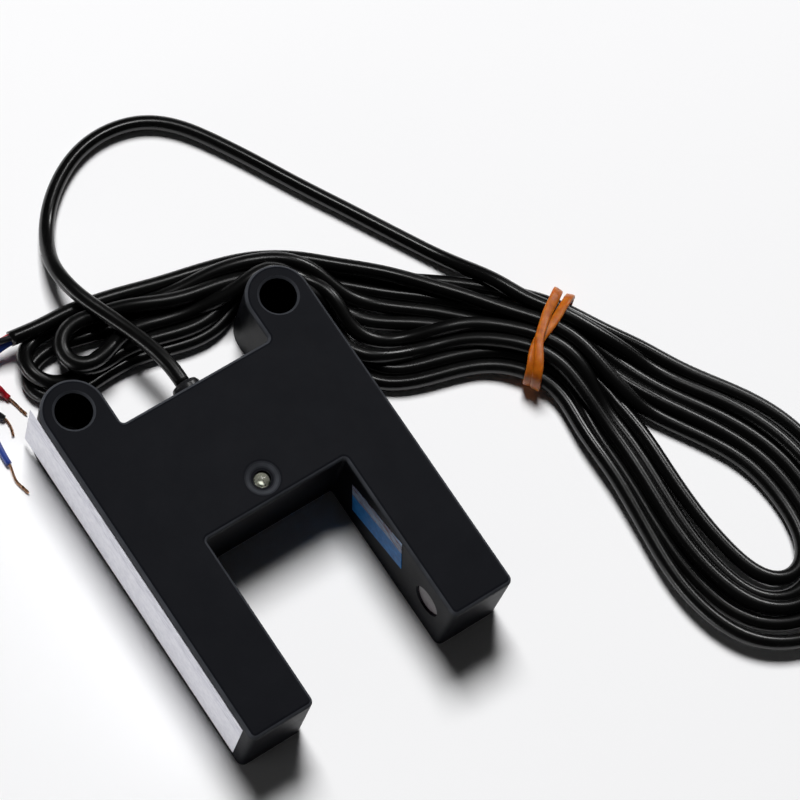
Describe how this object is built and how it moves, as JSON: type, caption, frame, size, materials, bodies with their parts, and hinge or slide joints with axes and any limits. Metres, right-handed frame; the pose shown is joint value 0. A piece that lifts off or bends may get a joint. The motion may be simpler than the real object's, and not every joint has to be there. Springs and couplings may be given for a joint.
{
  "type": "photoelectric switch",
  "caption": "Black U-shaped photoelectric slot sensor with two mounting ears, an indicator lamp, labelled sides and a banded hank of cable with three stripped wires",
  "frame": {"origin": "middle of the body's length and width, on its flat back", "axes": "X across the slot, Y from the leg tips to the ears, Z from the back to the face with the lamp"},
  "size_m": [0.1371, 0.1594, 0.0175],
  "materials": {
    "black_plastic": "satin, fine grain",
    "black_rubber": "satin",
    "clear_lens": "clear, glossy",
    "white_plastic": "matte",
    "dark_lens": "smoked, glossy",
    "blue_lens": "tinted, glossy",
    "green_board": "solder mask",
    "chip_black": "moulded, matte",
    "capacitor_sleeve": "shrink sleeve",
    "ceramic_tan": "ceramic, matte",
    "solder": "bright solder",
    "black_jacket": "satin cable jacket",
    "red_insulation": "satin",
    "black_insulation": "satin",
    "blue_insulation": "satin",
    "silver_label": "silver film",
    "blue_label": "printed film",
    "amber_rubber": "translucent rubber",
    "bare_copper": "tinned and bare strands"
  },
  "bodies": {
    "root": {"housing": "black_plastic", "base_cover": "black_plastic", "cable_bushing": "black_rubber", "indicator_lamp": "clear_lens", "lamp_spacer": "white_plastic", "emitter_window": "dark_lens", "receiver_window": "dark_lens", "infrared_emitter": "blue_lens", "light_receiver": "dark_lens", "emitter_holder": "black_plastic", "receiver_holder": "black_plastic", "main_board": "green_board", "controller_chip": "chip_black", "voltage_regulator": "chip_black", "output_transistor": "chip_black", "smoothing_capacitor": "capacitor_sleeve", "protection_diode": "chip_black", "chip_resistors": "chip_black", "chip_capacitors": "ceramic_tan", "solder_joints": "solder", "cable_tail": "black_jacket", "inner_lead_red": "red_insulation", "inner_lead_black": "black_insulation", "inner_lead_blue": "blue_insulation", "side_label": "silver_label", "slot_label": "blue_label", "cable_free_run": "black_jacket", "cable_hank_rear": "black_jacket", "cable_hank_side": "black_jacket", "cable_hank_front": "black_jacket", "cable_end_run": "black_jacket", "rubber_band": "amber_rubber", "wire_red": "red_insulation", "wire_black": "black_insulation", "wire_blue": "blue_insulation", "bare_end_red": "bare_copper", "bare_end_black": "bare_copper", "bare_end_blue": "bare_copper"}
  },
  "joints": []
}
